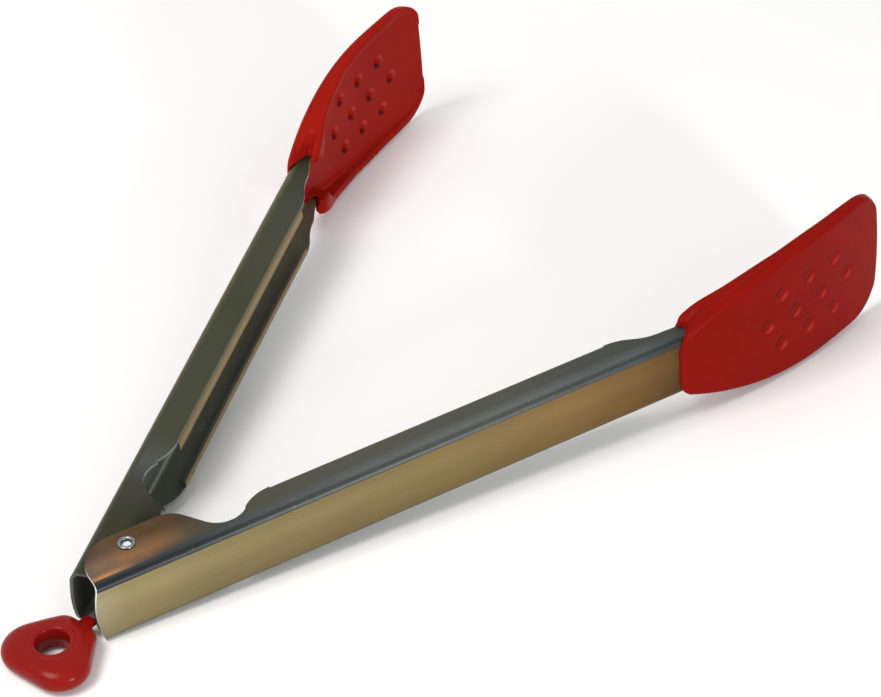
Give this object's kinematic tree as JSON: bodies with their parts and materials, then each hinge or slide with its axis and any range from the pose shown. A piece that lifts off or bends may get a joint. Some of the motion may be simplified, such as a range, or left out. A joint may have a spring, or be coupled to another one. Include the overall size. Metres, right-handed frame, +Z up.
{
  "type": "spring loaded kitchen tongs",
  "caption": "Spring loaded kitchen tongs: nested steel channel arms on a rivet, soft scooped heads with grip bumps, and a sliding pull tab that locks them closed.",
  "frame": {"origin": "centre of the lower rivet head's flat face, on the pivot axis", "axes": "+X from the pivot towards the heads along the middle between the arms, +Z up along the pivot, +Y towards the inner arm"},
  "size_m": [0.2826, 0.1834, 0.0466],
  "materials": {
    "arm_steel": "brushed along the arm",
    "red_silicone": "satin",
    "rivet_steel": "bright",
    "spring_wire": "drawn wire",
    "lock_steel": "satin",
    "black_nylon": "moulded"
  },
  "bodies": {
    "outer_arm": {"outer_arm": "arm_steel", "outer_head_cover": "red_silicone", "pivot_rivet": "rivet_steel", "spacer_sleeve": "rivet_steel", "torsion_spring": "spring_wire"},
    "inner_arm": {"inner_arm": "arm_steel", "inner_head_cover": "red_silicone"},
    "lock_guide": {"guide_bush": "black_nylon", "guide_washer": "black_nylon"},
    "lock_slide": {"lock_strip": "lock_steel", "lock_stud": "lock_steel", "pull_tab": "red_silicone"}
  },
  "joints": [
    {"name": "arm_pivot", "type": "hinge", "parent": "outer_arm", "child": "inner_arm", "pos_m": [0, 0, 0.0115], "axis": [0, 0, 1], "range_deg": [-40.45, 0], "stiffness_Nm_per_rad": 0.5, "springref_deg": 20.05, "deforming": ["torsion_spring"]},
    {"name": "lock_turn", "type": "hinge", "parent": "outer_arm", "child": "lock_guide", "pos_m": [0, 0, 0.0115], "axis": [0, 0, 1], "range_deg": [-20.25, 0]},
    {"name": "tab_slide", "type": "slide", "parent": "lock_guide", "child": "lock_slide", "axis": [-1, 0, 0], "range_m": [0, 0.006]}
  ],
  "couplings": [
    {"joint": "lock_turn", "follows": "arm_pivot", "ratio": 0.5}
  ]
}
